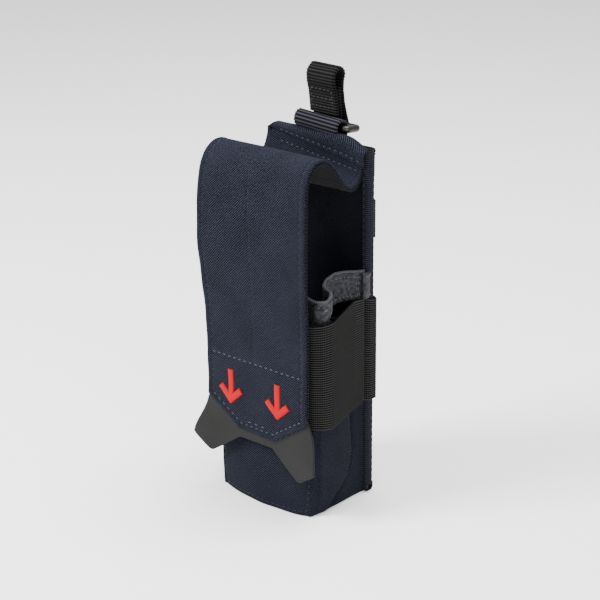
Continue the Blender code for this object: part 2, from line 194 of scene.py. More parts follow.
class Cloth:
    """Cloth of a thickness laid over a middle surface, whose face may be raised by a relief."""

    def __init__(self, middle, thickness, side=1, relief=None, offset=0.0):
        self.middle, self.thickness, self.side, self.offset = middle, thickness, side, offset
        self.relief = relief or (lambda a, s: np.zeros(np.broadcast(a, s).shape))

    def normal(self, a, s):
        step = 0.05
        across = self.middle(a + step, s) - self.middle(a - step, s)
        along = self.middle(a, s + step) - self.middle(a, s - step)
        out = np.cross(across, along) * self.side
        return out / (np.linalg.norm(out, axis=-1, keepdims=True) + 1e-12)

    def face(self, a, s, lift=0.0):
        """Points on the outer face, lifted off it."""
        height = self.offset + self.thickness / 2 + self.relief(a, s) + lift
        return self.middle(a, s) + self.normal(a, s) * np.asarray(height)[..., None]

    def mesh(self, name, a, s, finish):
        """A closed mesh over the grid of flat measures a and s, with a rounded rim."""
        out = self.normal(a, s)
        middle = self.middle(a, s) + out * self.offset
        half = self.thickness / 2
        back = middle - out * half
        pad = ((1, 1), (1, 1), (0, 0))
        edge = np.pad(middle, pad, mode="edge")
        beyond = np.pad(middle, pad, mode="reflect", reflect_type="odd") - edge
        length = np.linalg.norm(beyond, axis=2, keepdims=True)
        front = edge + beyond / np.maximum(length, 1e-9) * half * RIM_REACH
        front[1:-1, 1:-1] = middle + out * (half + self.relief(a, s))[..., None]
        index = np.arange(front[..., 0].size).reshape(front.shape[:2])
        back_index = index.copy()
        back_index[1:-1, 1:-1] = index.size + np.arange(a.size).reshape(a.shape)
        faces = np.concatenate([quads(index)[:, ::self.side], quads(back_index)[:, ::-self.side]])
        vertices = np.concatenate([front.reshape(-1, 3), back.reshape(-1, 3)])
        flat = np.pad(np.stack([a, s], axis=-1), pad, mode="reflect", reflect_type="odd")
        flat = np.concatenate([flat.reshape(-1, 2), flat[1:-1, 1:-1].reshape(-1, 2)])
        return new_mesh(name, in_frame(vertices), faces, flat, finish)

    def cover(self, name, across, along, finish):
        """A mesh over a rectangle. Each way is given as its low end, high end and step."""
        return self.mesh(name, *np.meshgrid(evenly(*across), evenly(*along)), finish)


def tapered(half_width, s, count):
    """Flat measures for a cloth whose half width changes along it."""
    share = np.linspace(-1, 1, count)
    share = np.linspace(-1, 1, count)
    return half_width(s)[:, None] * share[None, :], np.repeat(s[:, None], count, axis=1)


def evenly(low, high, step):
    return np.linspace(low, high, max(2, int(round((high - low) / step)) + 1))


def stitch_mesh(name, runs, finish, length, gap, radius):
    """Rows of stitches. Each run is a function from lengths to points and outward normals, and its length."""
    rings, sides = 7, 6
    along = np.linspace(0, 1, rings)
    girth = np.sqrt(np.clip(1 - (2 * along - 1) ** 4, 0.02, 1))
    dip = -1.1 * radius * np.abs(2 * along - 1) ** 3
    turns = np.linspace(0, 2 * math.pi, sides, endpoint=False)
    vertices, faces, flat = [], [], []
    for trace, total in runs:
        count = max(1, int(total / (length + gap)))
        pitch = total / count
        starts = (np.arange(count) + 0.5) * pitch - length / 2
        at = starts[:, None] + along[None, :] * length
        centre, out = trace(at)
        forward = np.gradient(centre, axis=1)
        forward /= np.linalg.norm(forward, axis=-1, keepdims=True) + 1e-12
        aside = np.cross(forward, out)
        centre = centre + out * dip[None, :, None]
        ring = aside[:, :, None] * np.cos(turns)[:, None] * 1.15 + out[:, :, None] * np.sin(turns)[:, None]
        shell = centre[:, :, None] + ring * (radius * girth)[None, :, None, None]
        base = sum(len(v) for v in vertices)
        index = base + np.arange(shell[..., 0].size).reshape(shell.shape[:3])
        faces.append(quads(np.concatenate([index, index[:, :, :1]], axis=2)))
        for end, order in ((0, 1), (-1, -1)):
            cap = index[:, end, :]
            faces.append(cap[:, [0, 1, 2, 3]][:, ::order])
            faces.append(cap[:, [0, 3, 4, 5]][:, ::order])
        vertices.append(shell.reshape(-1, 3))
        measure = np.stack(np.broadcast_arrays(at[:, :, None], turns[None, None, :] * radius), axis=-1)
        flat.append(measure.reshape(-1, 2))
    vertices, faces, flat = (np.concatenate(part) for part in (vertices, faces, flat))
    return new_mesh(name, in_frame(vertices), faces, flat, finish)


def run(cloth, corners, lift):
    """A row of stitches over a cloth's face, through corners given in its flat measures."""
    line = Path(corners, step=0.5)

    def trace(at):
        a, s = np.moveaxis(line(at), -1, 0)
        return cloth.face(a, s, lift), cloth.normal(a, s)

    return trace, line.length


# ---------------------------------------------------------------- finishes

class Finish:
    """One material's nodes, built from sockets and plain numbers."""

    def __init__(self, name, roughness, metallic=0.0, sheen=0.0, specular=0.5):
        self.material = bpy.data.materials.new(name)
        self.material.use_nodes = True
        self.tree = self.material.node_tree
        self.shader = self.tree.nodes["Principled BSDF"]
        for socket, value in (("Roughness", roughness), ("Metallic", metallic), ("Sheen Weight", sheen),
                              ("Sheen Roughness", 0.5), ("Specular IOR Level", specular)):
            self.shader.inputs[socket].default_value = value

    def put(self, socket, value):
        if isinstance(value, bpy.types.NodeSocket):
            self.tree.links.new(value, socket)
        else:
            socket.default_value = value

    def math(self, operation, *values):
        node = self.tree.nodes.new("ShaderNodeMath")
        node.operation = operation
        for socket, value in zip(node.inputs, values):
            self.put(socket, value)
        return node.outputs[0]

    def scaled(self, value, gain, base):
        """A value times a gain, plus a base."""
        return self.math("MULTIPLY_ADD", value, gain, base)

    def flat(self):
        """The cloth's flat measures, in millimetres."""
        node = self.tree.nodes.new("ShaderNodeUVMap")
        node.uv_map = FLAT_MAP
        return node.outputs[0]

    def flat_parts(self):
        """The flat measures across and along the cloth, apart."""
        parts = self.tree.nodes.new("ShaderNodeSeparateXYZ")
        self.put(parts.inputs[0], self.flat())
        return parts.outputs[0], parts.outputs[1]

    def solid(self):
        """Places in the object's own space."""
        return self.tree.nodes.new("ShaderNodeTexCoord").outputs["Object"]

    def noise(self, scale, detail, roughness=0.55, solid=False):
        """Uneven patches over the cloth's flat measures, or through the object's own space."""
        node = self.tree.nodes.new("ShaderNodeTexNoise")
        values = (self.solid() if solid else self.flat(), scale, detail, roughness)
        for socket, value in zip(("Vector", "Scale", "Detail", "Roughness"), values):
            self.put(node.inputs[socket], value)
        return node.outputs[0]

    def wave(self, value, pitch):
        """A sine between 0 and 1 that repeats every pitch."""
        turned = self.math("SINE", self.math("MULTIPLY", value, 2 * math.pi / pitch))
        return self.scaled(turned, 0.5, 0.5)

    def colour(self, factor, dark, light):
        """Colours the surface between two colours."""
        node = self.tree.nodes.new("ShaderNodeMix")
        node.data_type = "RGBA"
        for socket, value in ((0, factor), (6, (*dark, 1)), (7, (*light, 1))):
            self.put(node.inputs[socket], value)
        self.put(self.shader.inputs["Base Color"], node.outputs[2])

    def rough(self, factor, low, high):
        self.put(self.shader.inputs["Roughness"], self.scaled(factor, high - low, low))

    def bump(self, height, depth_mm):
        node = self.tree.nodes.new("ShaderNodeBump")
        node.inputs["Distance"].default_value = depth_mm * MM
        self.put(node.inputs["Height"], height)
        self.put(self.shader.inputs["Normal"], node.outputs[0])


def twill(name, dark, light, lean=1.0):
    """Pack cloth: raised diagonal lines, each broken into short yarn floats."""
    cloth = Finish(name, 0.85, sheen=0.01, specular=0.03)
    pitch = 0.85
    a, s = cloth.flat_parts()
    wobble = cloth.math("MULTIPLY", cloth.noise(0.35, 2.0), 0.9)
    lines = cloth.wave(cloth.math("ADD", cloth.scaled(a, lean, s), wobble), pitch * math.sqrt(2))
    floats = cloth.wave(cloth.scaled(a, lean, cloth.math("MULTIPLY", s, -1.0)), pitch * 1.1)
    height = cloth.scaled(floats, 0.3, cloth.math("MULTIPLY", lines, 0.7))
    fibre = cloth.noise(1.3, 3.0, 0.75)
    shade = cloth.scaled(fibre, 2.9, cloth.scaled(cloth.noise(0.06, 3.0), 0.5, -2.35))
    cloth.colour(cloth.scaled(height, 1.8, shade), dark, light)
    cloth.rough(fibre, 0.7, 0.95)
    cloth.bump(height, 0.16)
    return cloth.material


def webbing(name, dark, light, rib=1.4, depth=0.12):
    """Woven tape: ribs across its length, crossed by fine lengthwise yarns."""
    tape = Finish(name, 0.75, sheen=0.01, specular=0.06)
    a, s = tape.flat_parts()
    ribs = tape.wave(s, rib)
    yarns = tape.wave(tape.scaled(ribs, 0.35, a), 0.62)
    height = tape.scaled(yarns, 0.4, tape.math("MULTIPLY", ribs, 0.6))
    fibre = tape.noise(6.0, 3.0)
    tape.colour(tape.scaled(fibre, 0.6, tape.scaled(height, 2.0, -1.15)), dark, light)
    tape.rough(fibre, 0.6, 0.9)
    tape.bump(height, depth)
    return tape.material


def elastic_knit(name, dark, light):
    """Ribbed elastic: cords along it, with small knit cells."""
    knit = Finish(name, 0.8, sheen=0.02, specular=0.06)
    a, s = knit.flat_parts()
    height = knit.scaled(knit.wave(a, 0.85), 0.35, knit.math("MULTIPLY", knit.wave(s, RIB), 0.65))
    fibre = knit.noise(4.0, 3.0)
    knit.colour(knit.scaled(fibre, 0.5, knit.scaled(height, 2.8, -1.5)), dark, light)
    knit.bump(height, 0.12)
    return knit.material


def sateen(name, dark, light):
    """Smooth woven trim with a soft shine along its creases; the creases' light and dark patches in its
    colour are painted sheen and shade.
    """
    trim = Finish(name, 0.5, sheen=0.04, specular=0.15)
    a, s = trim.flat_parts()
    rising, falling = trim.wave(trim.math("ADD", a, s), 0.9), trim.wave(trim.math("SUBTRACT", a, s), 1.1)
    yarns = trim.math("MULTIPLY", rising, falling)
    crease = trim.noise(0.5, 4.0, 0.65)
    # The crease noise lightens and darkens the colour: painted sheen and shade of creases, besides their real
    # roughness and bump.
    trim.colour(trim.scaled(yarns, 0.7, trim.scaled(crease, 2.4, -1.05)), dark, light)
    trim.rough(crease, 0.4, 0.75)
    trim.bump(trim.scaled(yarns, 0.15, crease), 0.35)
    return trim.material


def coated(name, dark, light):
    """Coated sheet: matte, with a faint pebbled skin and scuffs."""
    sheet = Finish(name, 0.6, specular=0.12)
    pebble = sheet.noise(2.6, 4.0, 0.6)
    patch = sheet.noise(0.12, 3.0)
    sheet.colour(sheet.scaled(pebble, 0.5, sheet.math("MULTIPLY", patch, 0.6)), dark, light)
    sheet.rough(patch, 0.5, 0.75)
    sheet.bump(pebble, 0.06)
    return sheet.material


def thread(name, dark, light, twist=0.55, shine=0.15):
    """Twisted sewing thread."""
    yarn = Finish(name, 0.5, sheen=0.03, specular=shine)
    plies = yarn.wave(yarn.math("ADD", *yarn.flat_parts()), twist)
    yarn.colour(plies, dark, light)
    yarn.bump(plies, 0.05)
    return yarn.material


def metal(name, dark, light):
    """Satin plated wire with fine handling marks."""
    plate = Finish(name, 0.35, metallic=1.0)
    marks = plate.noise(900.0, 4.0, solid=True)
    plate.colour(plate.noise(160.0, 3.0, solid=True), dark, light)
    plate.rough(marks, 0.28, 0.5)
    plate.bump(marks, 0.03)
    return plate.material


def pile(name, dark, light, scale):
    """Hook or loop fastener: a dense field of small hooks or loops."""
    field = Finish(name, 0.9, sheen=0.05, specular=0.06)
    cells = field.tree.nodes.new("ShaderNodeTexVoronoi")
    field.put(cells.inputs["Vector"], field.solid())
    field.put(cells.inputs["Scale"], scale)
    tufts = field.math("SUBTRACT", 1.0, cells.outputs["Distance"])
    field.colour(tufts, dark, light)
    field.bump(tufts, 0.5)
    return field.material


def plastic(name, colour):
    """Plain sheet with a fine grain."""
    sheet = Finish(name, 0.5)
    grain = sheet.noise(1500.0, 2.0, solid=True)
    sheet.colour(grain, tuple(0.85 * c for c in colour), colour)
    sheet.bump(grain, 0.03)
    return sheet.material


NAVY = twill("navy_twill", (0.0002, 0.0003, 0.0011), (0.0255, 0.0280, 0.0435))
NAVY_UPRIGHT = twill("navy_twill_upright", (0.0002, 0.0003, 0.0010), (0.0215, 0.0240, 0.0370), lean=-1.0)
# The navy twill darkened far below the outer cloth: painted shade for the pocket's dark inside.
NAVY_DEEP_PAINTED_SHADE = twill("navy_deep_painted_shade", (0.0001, 0.0002, 0.0006), (0.0055, 0.0062, 0.0098), lean=-1.0)
# The navy twill at about half its brightness: painted shade for the panel's face inside the pocket's mouth.
NAVY_PAINTED_SHADE = twill("navy_painted_shade", (0.0002, 0.0003, 0.0008), (0.0125, 0.0140, 0.0215), lean=-1.0)
NAVY_TAPE = webbing("navy_tape", (0.0004, 0.0005, 0.0013), (0.026, 0.027, 0.040), rib=1.0, depth=0.06)
LINING_TAPE = webbing("navy_lining_tape", (0.0001, 0.0001, 0.0003), (0.0190, 0.0185, 0.0235), 1.7, 0.25)
NAVY_WEBBING = webbing("navy_ribbed_webbing", (0.0001, 0.0001, 0.0005), (0.045, 0.0435, 0.058), rib=STRAP_RIB)
BLACK_WEBBING = webbing("black_heavy_webbing", (0.0001, 0.0001, 0.0001), (0.0185, 0.0172, 0.0175))
ELASTIC = elastic_knit("black_elastic", (0.0001, 0.0001, 0.0001), (0.0310, 0.0310, 0.0300))
SLATE = sateen("slate_trim", (0.0004, 0.0004, 0.001), (0.044, 0.045, 0.056))
SHEET = coated("charcoal_sheet", (0.0045, 0.0045, 0.0044), (0.0130, 0.0130, 0.0128))
NAVY_THREAD = thread("navy_thread", (0.001, 0.0015, 0.003), (0.013, 0.016, 0.024))
PALE_THREAD = thread("pale_navy_thread", (0.003, 0.005, 0.010), (0.062, 0.076, 0.108))
HEM_THREAD = thread("hem_thread", (0.002, 0.003, 0.006), (0.042, 0.050, 0.072))
GREY_THREAD = thread("grey_thread", (0.010, 0.010, 0.012), (0.115, 0.115, 0.130))
DIM_THREAD = thread("dim_thread", (0.003, 0.003, 0.003), (0.050, 0.048, 0.047))
# Piping thread much lighter than the slate trim: a real piping edge whose lightness is partly a painted
# highlight of the rim light.
PIPING_PAINTED_HIGHLIGHT = thread("slate_piping_painted_highlight", (0.012, 0.012, 0.015), (0.070, 0.071, 0.083), twist=0.8)
BLACK_THREAD = thread("black_thread", (0.002, 0.002, 0.002), (0.022, 0.021, 0.020))
RED_THREAD = thread("red_thread", (0.20, 0.002, 0.004), (0.46, 0.005, 0.010), twist=0.9, shine=0.03)
METAL = metal("ring_metal", (0.014, 0.0135, 0.013), (0.072, 0.070, 0.067))
HOOKS = pile("hook_field", (0.002, 0.002, 0.002), (0.012, 0.012, 0.013), 1100.0)
LOOPS = pile("loop_field", (0.002, 0.002, 0.002), (0.016, 0.016, 0.017), 700.0)
# A loop-fabric facing coloured near black: its darkness is painted shade, the flap's shadow over the trim's
# front.
FACING_PAINTED_SHADE = pile("facing_painted_shade", (0.0005, 0.0005, 0.0005), (0.0045, 0.0045, 0.0048), 700.0)
PLASTIC = plastic("stiffener_plastic", (0.02, 0.02, 0.02))


# ---------------------------------------------------------------- joints that cloth crosses

# Each bend says two bodies, and the points where cloth leaves the first and has joined the second.
SEAM_BEND = ("pouch", "flap_root", point(0, -1.5, 168.5), point(-1.3, -8.5, 160.5))
CREST_BEND = ("flap_root", "flap_front", point(0, -27.5, 172), point(0, -42.5, 172))
TAB_BEND = ("flap_front", "tab_wings", point(0, -43, 38.2), point(0, -43, 33.0))


def fit(piece, where, slot, *nodes):
    """Fixes a piece to a body; a piece that crosses the joint of a bend is left in place on no body. Hides
    the nodes it stands for; the slot is not used.
    """
    if isinstance(where, str):
        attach(piece, where)
    else:
        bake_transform(piece)
    if nodes:
        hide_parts(*nodes)


def sew(name, cloth, lines, finish, where, slot, size=(2.5, 0.8, 0.24), lift=0.05):
    """Fits rows of stitches over a cloth. Size says a stitch's length, the gap after it and its radius."""
    rows = [run(cloth, corners, lift) for corners in lines]
    fit(stitch_mesh(name, rows, finish, *size), where, slot)


# ---------------------------------------------------------------- flap

FLAP_HALF_WIDTH = 31.75
FLAP_CORNER_Z, FLAP_TIP_Z, FLAP_TIP_HALF = 50.0, 37.0, 11.5
FLAP_PATH = Path([(-1.75, 175.2), (-1.8, 170.0), (-4.0, 163.5), (-8.2, 158.6), (-13.0, 157.6), (-17.6, 160.6),
                  (-22.2, 166.6), (-26.6, 172.2), (-31.2, 175.2), (-36.4, 175.0), (-40.9, 171.8),
                  (-43.3, 166.0), (-44.1, 157.0), (-44.4, 140.0), (-44.2, 120.0), (-43.85, 92.0),
                  (-43.85, FLAP_TIP_Z)], soft=1.8)
FLAP_SPLIT = FLAP_PATH.where(1, 165.0, start=20.0)  # where its back piece meets its front piece
FLAP_CORNER_S = FLAP_PATH.where(1, FLAP_CORNER_Z, start=60.0)
FLAP_ROW_S = FLAP_PATH.where(1, 73.0, start=60.0)
SEWN_ROW_S = 6.6
FLAP_HEM = 3.0  # how far in its edge stitching lies
LAYER, LAYER_OFFSET = 1.2, 0.62  # each layer's thickness, and how far it lies off the flap's middle
ROOT_SLANT = 0.154  # how fast the flap's sewn end falls from left to right


def flap_middle(x, s):
    """The flap hangs a little proud of the pocket, most at its left edge, and is sewn on at a slant.

    Its sewn end also keeps below the hem's lower left corner.
    """
    side = FLAP_PATH(s)
    y = side[..., 0]
    z = side[..., 1] - (1.0 + ROOT_SLANT * x) * smooth_step((20 - s) / 16)
    z = z - (0.6 + corner_drop(np.minimum(x, 0))) * smooth_step((8 - s) / 8)
    proud = 4.4 * smooth_step((14 - x) / 46) * np.exp(-((z - 134) / 30) ** 2)
    proud = proud + 0.9 * np.exp(-((z - 160) / 12) ** 2) * smooth_step(-x / 30)
    proud = (proud + sway(x, s, 3, 0.22, 30)) * smooth_step((s - 30) / 30)
    return places(x, y - proud, z)


def flap_half_width(s):
    past = np.clip((s - FLAP_CORNER_S) / (FLAP_PATH.length - FLAP_CORNER_S), 0, 1)
    sewn = 2.6 * smooth_step((24 - s) / 18)
    return FLAP_HALF_WIDTH - sewn - past * (FLAP_HALF_WIDTH - FLAP_TIP_HALF)


def flap_slope_distance(x, s):
    """How far inside the sloping corner edges a point is."""
    across, along = FLAP_HALF_WIDTH - FLAP_TIP_HALF, FLAP_PATH.length - FLAP_CORNER_S
    inside = along * (FLAP_HALF_WIDTH - np.abs(x)) - across * (s - FLAP_CORNER_S)
    return inside / math.hypot(across, along)


def centre_line(s):
    """Where the seam down the flap's middle lies: it wanders to the right on its way down."""
    return -2.4 + 1.8 * smooth_step((s - 50) / 90)


def flap_relief(x, s):
    """Puffed hems outside the edge stitching, and dents along every row of stitches."""
    side = FLAP_HALF_WIDTH - np.abs(x)
    edge = np.minimum(np.minimum(side, flap_slope_distance(x, s)), FLAP_PATH.length - s)
    centre = groove(x - centre_line(s), 0.22, 0.8) * np.where(s > FLAP_ROW_S, 0.35, 1)
    puff = 0.22 * smooth_step((FLAP_HEM - edge) / 1.2) - 0.25 * smooth_step((0.9 - edge) / 0.9)
    return (puff + groove(edge - FLAP_HEM, 0.42, 0.6) + centre + groove(s - FLAP_ROW_S)
            + groove(s - SEWN_ROW_S))


def flap():
    """An outer layer and a lining, each in a back piece and a front piece."""
    outer = Cloth(flap_middle, LAYER, side=-1, relief=flap_relief, offset=LAYER_OFFSET)
    lining = Cloth(flap_middle, LAYER, side=1, offset=LAYER_OFFSET)
    columns = 97
    end = FLAP_PATH.length
    rows_back = evenly(0, FLAP_SPLIT, 0.8)
    rows_outer = np.r_[evenly(FLAP_SPLIT, FLAP_CORNER_S, 0.8), evenly(FLAP_CORNER_S, end, 0.7)[1:]]
    rows_lining = evenly(FLAP_SPLIT, FLAP_CORNER_S - 4, 0.9)
    for cloth, layer, finish, rows in ((outer, "outer", NAVY, rows_outer),
                                       (lining, "lining", LINING_TAPE, rows_lining)):
        piece = cloth.mesh(f"flap_back_{layer}", *tapered(flap_half_width, rows_back, columns), finish)
        fit(piece, SEAM_BEND, "navy_cloth", f"flap_sewn_edge_{layer}", f"flap_root_{layer}")
        piece = cloth.mesh(f"flap_{layer}", *tapered(flap_half_width, rows, columns), finish)
        fit(piece, CREST_BEND, "navy_cloth", f"flap_front_{layer}")
    edge = FLAP_HALF_WIDTH - FLAP_HEM
    slope_end = FLAP_TIP_HALF - 1.2
    corner = FLAP_CORNER_S - 1.5
    for word, low, high, bend in (("edge", FLAP_SPLIT + 0.5, corner, CREST_BEND),
                                  ("back", 9.0, FLAP_SPLIT - 0.5, SEAM_BEND)):
        sides = [[(x, low), (x, high)] for x in (-edge, edge)]
        sew(f"flap_{word}_stitches", outer, sides, NAVY_THREAD, bend, "navy_cloth", (2.4, 0.9, 0.24))
    sew("flap_sewn_stitches", outer, [[(-21, SEWN_ROW_S), (28, SEWN_ROW_S)]], HEM_THREAD,
        SEAM_BEND, "navy_cloth", (1.9, 1.3, 0.25))
    along = evenly(FLAP_SPLIT + 24, FLAP_ROW_S - 1, 4.0)
    sew("flap_centre_stitches", outer, [list(zip(centre_line(along), along))], NAVY_THREAD,
        CREST_BEND, "navy_cloth", (2.2, 1.0, 0.18), 0.0)
    low = [[(-edge, FLAP_ROW_S), (edge, FLAP_ROW_S)],
           [(-edge, corner), (-slope_end, end - 3), (slope_end, end - 3), (edge, corner)],
           [(-6.5, end - 5.2), (6.5, end - 5.2)]]
    sew("flap_row_stitches", outer, low, PALE_THREAD, "flap_front", "navy_cloth", (2.0, 1.3, 0.27))


# ---------------------------------------------------------------- swept surfaces

def along_x(path, middle_x=0.0):
    """A surface swept along x from a side-view path of y and z."""
    def middle(a, s):
        at = path(s)
        return places(middle_x + a, at[..., 0], at[..., 1])
    return middle


def along_z(path, base=0.0):
    """A surface swept up from a plan path of x and y."""
    def middle(a, s):
        at = path(a)
        return places(at[..., 0], at[..., 1], base + s)
    return middle


def upright(y, wave=None):
    """A flat surface facing the front, with slow waves if given."""
    def middle(a, s):
        return places(a, y + wave(a, s) if wave else y, s)
    return middle


def mirrored(half, first=-1):
    """A plan path through one half's points, up to the middle line, then through their mirror image."""
    return [(first * x, y) for x, y in half] + [(-first * x, y) for x, y in half[::-1]][1:]


# ---------------------------------------------------------------- back panel

PANEL_HALF = 30.7
SIDES = (("left", -1), ("right", 1))


def corner_cut(side, z):
    """How much narrower a side of the panel gets towards its top corner, more so at the left."""
    return 3.4 * smooth_step((z - 148) / 18) if side < 0 else 0.5 * smooth_step((z - 163) / 9)


def corner_drop(x):
    """How much lower the panel's top edge gets towards its corners, more so at the right."""
    return 4.9 * smooth_step((x - 17) / 15) + 2.2 * smooth_step((-x - 24.5) / 4.5)


HEM_TOP = 178.6
HEM_FOOT, HEM_SLANT = 172.2, 0.175  # the front leg's lower end at the middle, and its fall to the right
HEM_LEG, HEM_SHORTEST = 6.2, 1.6  # the front leg's length on the path, and the least that stays of it
HEM_PATH = Path([(-3.45, 172.4), (-3.5, 176.4), (-2.6, 178.1), (0.2, 178.6), (3.0, 177.2), (4.4, 175.2),
                 (4.4, 165.6)], soft=0.5)
HEM_ROWS = (1.3, 20.3)  # where its rows of stitches lie along the path, front and rear


def hem_middle(a, s):
    """The hem's front leg is short at the left and long at the right, like the rows that hold it."""
    at = HEM_PATH(s)
    y, z = at[..., 0], at[..., 1]
    front = smooth_step((0.5 - y) / 2.5)
    top = HEM_TOP - corner_drop(a)
    leg = np.maximum(top - HEM_FOOT + HEM_SLANT * a, HEM_SHORTEST)
    z = top - (HEM_TOP - z) * (1 - front + front * leg / HEM_LEG)
    return places(a, y, z)


def panel():
    """Face and rear cloth, edge bindings and the hem rolled over the top."""
    face = Cloth(upright(0.35, lambda a, s: sway(a, s, 5, 0.12, 40)), 0.8)
    rear = Cloth(upright(2.85), 0.8, side=-1)
    core = Cloth(upright(1.6), 1.2)
    a, s = np.meshgrid(evenly(-PANEL_HALF, PANEL_HALF, 1.5), evenly(0.8, 177.0, 1.5))
    a = a * (1 - np.where(a < 0, corner_cut(-1, s), corner_cut(1, s)) / PANEL_HALF)
    s = s - (corner_drop(a) + 0.4) * smooth_step((s - 150) / 27)
    # The panel's face is coloured with the navy twill darkened as painted shade.
    fit(face.mesh("panel_face", a, s, NAVY_PAINTED_SHADE), "pouch", "navy_cloth", "back_panel_face")
    fit(rear.mesh("panel_rear", a, s, NAVY_UPRIGHT), "pouch", "navy_cloth", "back_panel_rear")
    fit(core.mesh("stiffener", a, s, PLASTIC), "pouch", "plastic_sheet", "back_stiffener")
    for word, side in SIDES:
        plan = [(28.8, -0.75), (30.9, -0.98), (31.95, 0.1), (32.05, 2.9), (31.1, 4.25), (28.8, 4.1)]
        path = Path([(side * x, y) for x, y in plan], soft=0.55)
        straight = along_z(path)

        def puckers(a, s):
            return ribbed(s, 3.3, 0.1) * np.exp(-((a - path.length / 2) / 3) ** 2)

        def edge(a, s):
            return straight(a, s) - places(side * corner_cut(side, s), 0, 0)

        tape = Cloth(edge, 0.7, side=side, relief=puckers)
        fit(tape.cover(f"side_tape_{word}", (0, path.length, 0.5), (3.4, 174.2, 0.8), NAVY_TAPE),
            "pouch", "navy_cloth", f"side_binding_{word}")
        rows = [[(at, 5), (at, 169)] for at in (1.1, path.length - 1.1)]
        sew(f"side_tape_stitches_{word}", tape, rows, NAVY_THREAD, "pouch", "navy_cloth")
    path = Path([(-0.75, 4.2), (-0.95, 1.5), (-0.1, 0.45), (3.4, 0.45), (4.3, 1.5), (4.1, 4.2)], soft=0.4)
    foot = Cloth(along_x(path), 0.7, side=-1)
    fit(foot.cover("foot_tape", (-31.7, 31.7, 0.9), (0, path.length, 0.5), NAVY_TAPE),
        "pouch", "navy_cloth", "foot_binding")
    front, rear = HEM_ROWS

    def dents(a, s):
        return groove(s - front, 0.3, 0.6) + groove(s - rear, 0.25)

    hem = Cloth(hem_middle, 0.9, relief=dents)
    fit(hem.cover("hem", (-28.0, 31.2, 0.75), (0, HEM_PATH.length, 0.4), NAVY),
        "pouch", "navy_cloth", "top_hem")
    rows = [[(-21.0, front), (29.6, front)], [(-26.6, rear), (29.6, rear)]]
    sew("hem_stitches", hem, rows, HEM_THREAD, "pouch", "navy_cloth", (1.9, 1.3, 0.26))


# ---------------------------------------------------------------- pocket

POCKET_FRONT = -38.35
POCKET_TOP = 97.0
PLEAT_HEIGHTS = [0, 2.3, 4.6, 14.7, 26.6, 47.9, 70, 97]
PLEAT_DEPTHS = [-27, -26.4, -24.2, -15.2, -11.2, -13.1, -18, -24.6]


def pocket_half(z):
    """The pocket's right half in plan at a height, from the panel round to the middle of the front."""
    fold = float(np.interp(z, PLEAT_HEIGHTS, PLEAT_DEPTHS))
    crease = float(np.interp(z, [0, 6, 48, 75, 97], [29.0, 27.4, 27.0, 26.4, 25.0]))
    wide = float(np.interp(z, [0, 4, 12, 60, 97], [29.6, 30.8, 32.3, 32.4, 32.0]))
    front = float(np.interp(z, [0, 50, 97], [POCKET_FRONT, POCKET_FRONT, -35.2]))
    return [(29.6, -0.9), (29.3, -3.5), (29.5, fold + 4.2), (crease, fold + 1.1), (wide - 0.2, fold - 1.2),
            (wide, 0.5 * (fold - 34)), (wide - 0.6, front + 3.7), (28.9, front + 0.4), (25, front),
            (0, front)]


def bottom_bulge(x, y, z):
    """How far the front sags forward near the floor."""
    middle = np.clip(1 - ((x - 1) / 29.5) ** 2, 0, 1)
    return 4.3 * np.exp(-(z / 21) ** 2) * middle * smooth_step((-31 - y) / 5)


def pocket_surface():
    """The pocket's surface, from plan paths at even heights, and half its width."""
    heights = np.linspace(0.35, POCKET_TOP, 100)
    count = 200
    levels, lengths = [], []
    for z in heights:
        path = Path(mirrored(pocket_half(z)), soft=0.75)
        x, y = path(np.linspace(0, path.length, count)).T
        levels.append(places(x, y - bottom_bulge(x, y, z), z))
        lengths.append(path.length)
    half = float(np.mean(lengths)) / 2
    return Table(np.linspace(-half, half, count), heights, np.array(levels)), half


def pocket():
    """One shell: the front and both pleated sides, with a corner seam at each side of the front."""
    surface, half = pocket_surface()

    def middle(a, s):
        return surface(a, s) - places(0, sway(a, s, 11, 0.28, 34), 0)

    def relief(a, s):
        edge = np.abs(a) - 29.6
        return 0.45 * np.exp(-(edge / 0.9) ** 2) + groove(edge + 2.0, 0.25) + groove(edge - 2.0, 0.2)

    shell = Cloth(middle, 0.9, relief=relief)
    fit(shell.cover("pocket_shell", (-half, half, 0.6), (0.4, POCKET_TOP, 0.9), NAVY_UPRIGHT),
        "pouch", "navy_cloth", "pocket_front", "side_wall_left", "side_wall_right")
    rows = [[(-27.6, 1.5), (-27.6, 95)], [(27.6, 1.5), (27.6, 95)], [(-27, 2.2), (27, 2.2)]]
    sew("pocket_seam_stitches", shell, rows, NAVY_THREAD, "pouch", "navy_cloth", (2.2, 1.0, 0.2), 0.0)

    def base(a, s):
        corner = 5.5 * np.clip((np.abs(a) - 24) / 6, 0, 1) ** 2
        depth = 36.9 - corner + bottom_bulge(a, -40.0, 0.0)
        return places(a, -1.2 - s / 37 * depth, 0.5)

    floor = Cloth(base, 0.9)
    # The pocket floor takes the navy twill darkened as painted shade.
    fit(floor.cover("pocket_base", (-29.4, 29.4, 1.0), (0, 37, 1.0), NAVY_DEEP_PAINTED_SHADE),
        "pouch", "navy_cloth", "pocket_floor")


# ---------------------------------------------------------------- mouth

